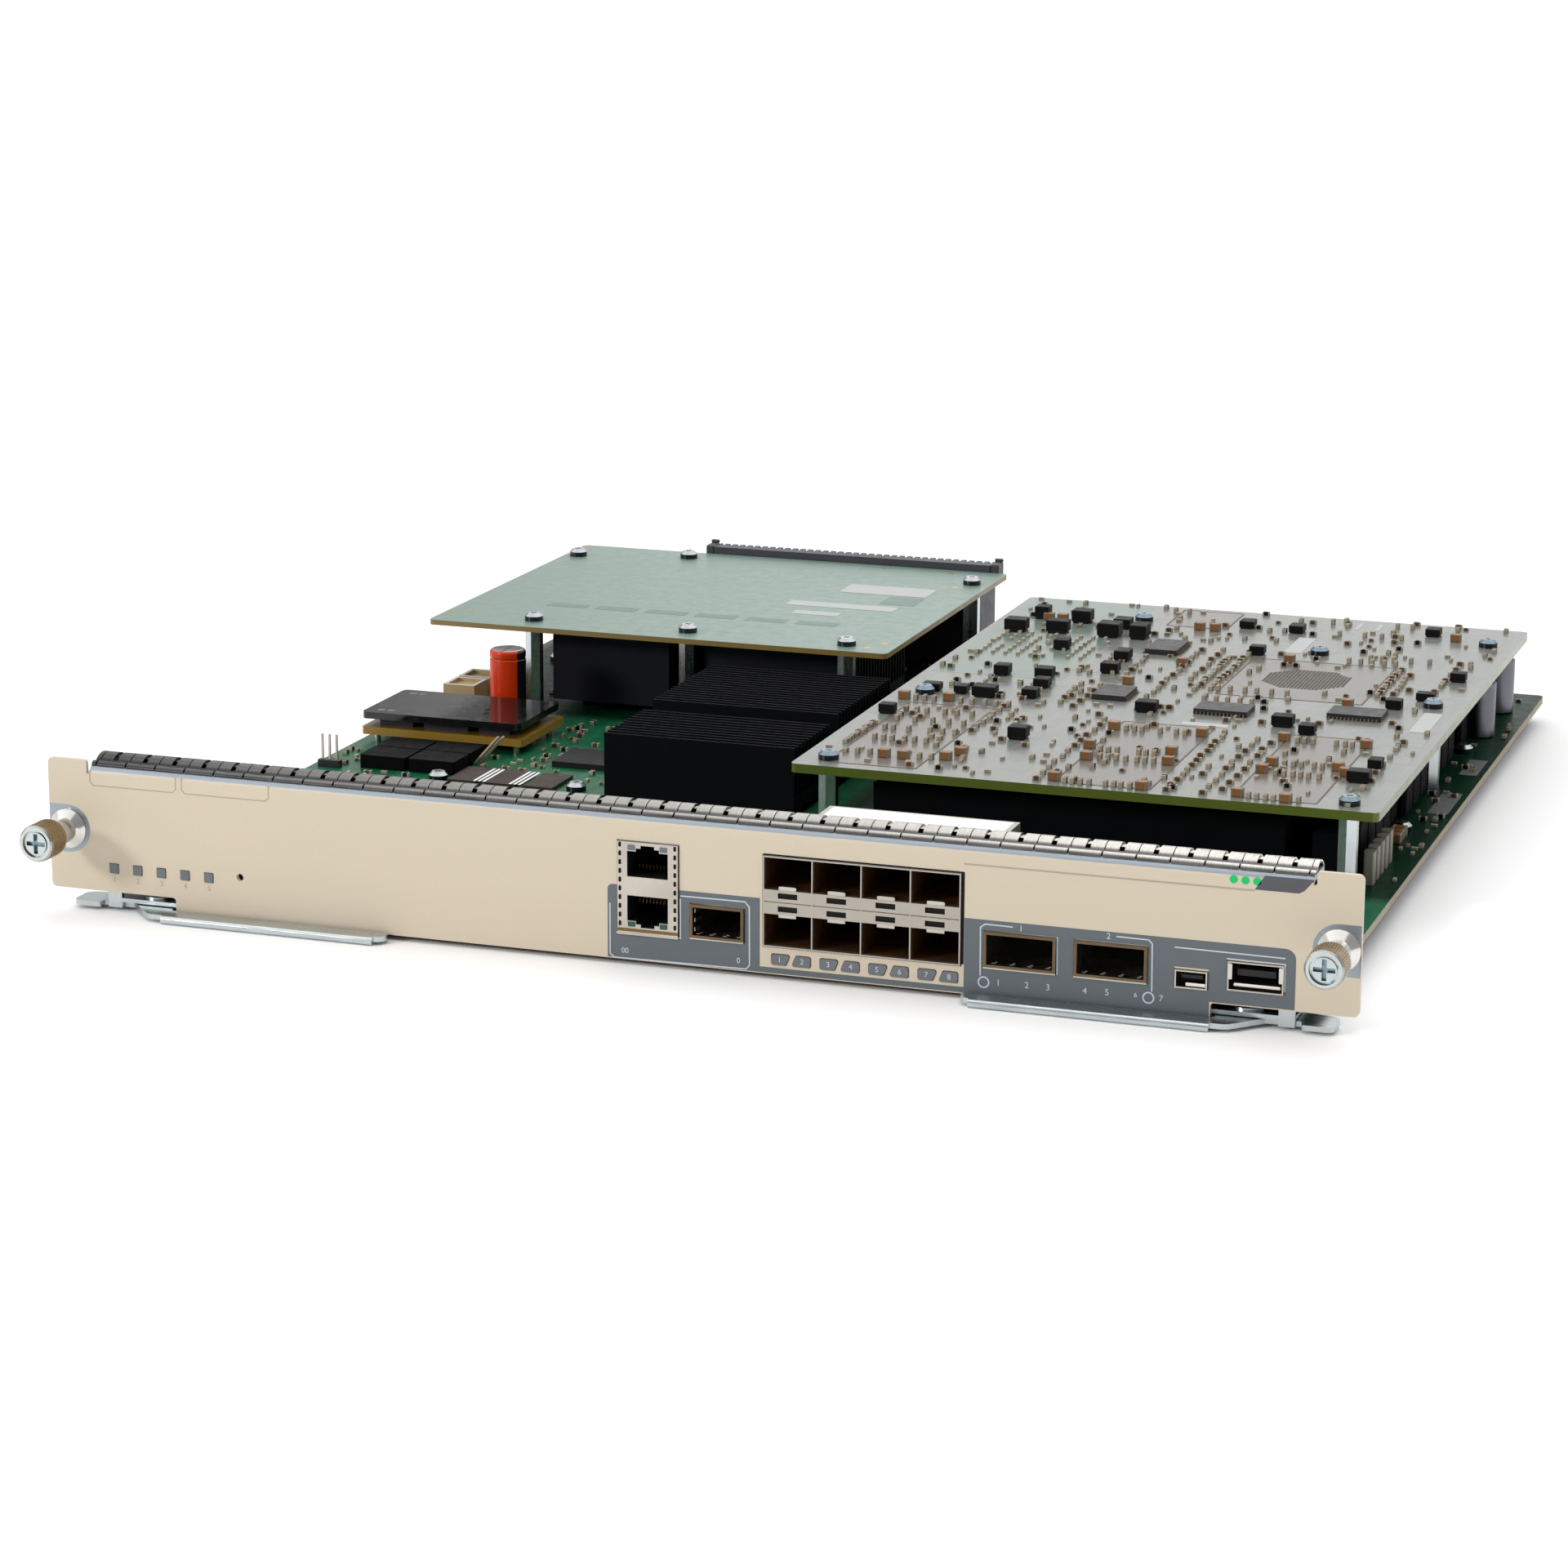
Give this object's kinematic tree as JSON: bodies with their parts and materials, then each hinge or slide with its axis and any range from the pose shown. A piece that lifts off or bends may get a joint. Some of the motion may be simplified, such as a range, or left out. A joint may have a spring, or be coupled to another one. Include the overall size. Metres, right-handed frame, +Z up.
{
  "type": "supervisor module",
  "caption": "Chassis plug-in controller card: ported face panel with ejector levers and captive screws, main board, raised boards, heat sinks and backplane connectors.",
  "frame": {"origin": "middle of the module's box in plan, on the plane of the lever lips it rests on", "axes": "+X to the right seen from the face, +Y into the chassis towards the backplane, +Z up"},
  "size_m": [0.3912, 0.423, 0.0463],
  "materials": {
    "panel_paint": "satin champagne powder coat",
    "zinc_plate": "bright zinc plate",
    "spring_steel": "bare spring strip",
    "nickel_plate": "polished nickel plate",
    "cage_steel": "nickel-washed cage sheet",
    "main_board_mask": "green solder mask",
    "right_board_mask": "grey-green solder mask",
    "left_board_mask": "pale sage solder mask",
    "black_moulding": "black moulded plastic",
    "connector_grey": "dark grey moulded plastic",
    "sink_black": "black anodised fins",
    "chip_black": "black moulded chip",
    "module_board_brown": "bare laminate edge",
    "module_plate_black": "glossy black cover",
    "capacitor_orange": "shrunk sleeve",
    "header_beige": "beige moulded plastic",
    "light_lens": "milky lens",
    "can_grey": "grey can",
    "tray_zinc": "zinc-plated sheet"
  },
  "bodies": {
    "module": {"board_chips": "chip_black", "board_headers": "header_beige", "board_links": "black_moulding", "board_screws": "zinc_plate", "bracket_rivets": "zinc_plate", "bulk_capacitor": "capacitor_orange", "cage_connectors": "black_moulding", "carrier_tray": "tray_zinc", "converter_blocks": "chip_black", "edge_cans": "can_grey", "edge_chokes": "header_beige", "face_panel": "panel_paint", "front_heat_sink": "sink_black", "jack_insert": "black_moulding", "jack_shield": "cage_steel", "left_mezzanine_board": "left_board_mask", "left_mezzanine_posts": "zinc_plate", "left_mezzanine_screws": "zinc_plate", "left_screw_spring": "spring_steel", "lever_brackets": "zinc_plate", "lever_pivot_pins": "zinc_plate", "low_backplane_connector": "connector_grey", "main_board": "main_board_mask", "management_cage": "cage_steel", "memory_chips": "chip_black", "middle_heat_sink": "sink_black", "pin_header": "black_moulding", "port_lights": "light_lens", "power_module_board": "module_board_brown", "power_module_cores": "chip_black", "power_module_pins": "zinc_plate", "power_module_plate": "module_plate_black", "rear_left_heat_sink": "sink_black", "rear_right_heat_sink": "sink_black", "reset_switch": "black_moulding", "right_heat_sink": "sink_black", "right_mezzanine_board": "right_board_mask", "right_mezzanine_chips": "chip_black", "right_mezzanine_posts": "zinc_plate", "right_mezzanine_screws": "zinc_plate", "right_screw_spring": "spring_steel", "screw_ferrules": "nickel_plate", "serial_shells": "cage_steel", "serial_tongues": "black_moulding", "stack_dividers": "cage_steel", "stack_shell": "cage_steel", "stack_shelves": "cage_steel", "status_lights": "light_lens", "tall_backplane_connector": "connector_grey", "top_gasket": "spring_steel", "tray_spacers": "zinc_plate", "wide_cages": "cage_steel"},
    "left_lever": {"left_lever": "zinc_plate"},
    "right_lever": {"right_lever": "zinc_plate"},
    "left_screw_slide": {"left_screw_clip": "spring_steel"},
    "left_screw": {"left_panel_screw": "nickel_plate"},
    "right_screw_slide": {"right_screw_clip": "spring_steel"},
    "right_screw": {"right_panel_screw": "nickel_plate"},
    "reset_button": {"reset_plunger": "black_moulding"}
  },
  "joints": [
    {"name": "left_lever_pivot", "type": "hinge", "parent": "module", "child": "left_lever", "pos_m": [-0.164, -0.1845, 0.00175], "axis": [0, 0, 1], "range_deg": [-50, 0]},
    {"name": "left_screw_press", "type": "slide", "parent": "module", "child": "left_screw_slide", "axis": [0, 1, 0], "range_m": [0, 0.0056], "stiffness_N_per_m": 300, "springref_m": -0.002, "deforming": ["left_screw_spring"]},
    {"name": "left_screw_turn", "type": "hinge", "parent": "left_screw_slide", "child": "left_screw", "pos_m": [-0.1896, -0.1915, 0.0243], "axis": [0, 1, 0], "continuous": true},
    {"name": "right_lever_pivot", "type": "hinge", "parent": "module", "child": "right_lever", "pos_m": [0.164, -0.1845, 0.00175], "axis": [0, 0, 1], "range_deg": [0, 50]},
    {"name": "right_screw_press", "type": "slide", "parent": "module", "child": "right_screw_slide", "axis": [0, 1, 0], "range_m": [0, 0.0056], "stiffness_N_per_m": 300, "springref_m": -0.002, "deforming": ["right_screw_spring"]},
    {"name": "right_screw_turn", "type": "hinge", "parent": "right_screw_slide", "child": "right_screw", "pos_m": [0.1896, -0.1915, 0.0243], "axis": [0, 1, 0], "continuous": true},
    {"name": "reset_press", "type": "slide", "parent": "module", "child": "reset_button", "axis": [0, 1, 0], "range_m": [0, 0.0004], "stiffness_N_per_m": 400}
  ]
}
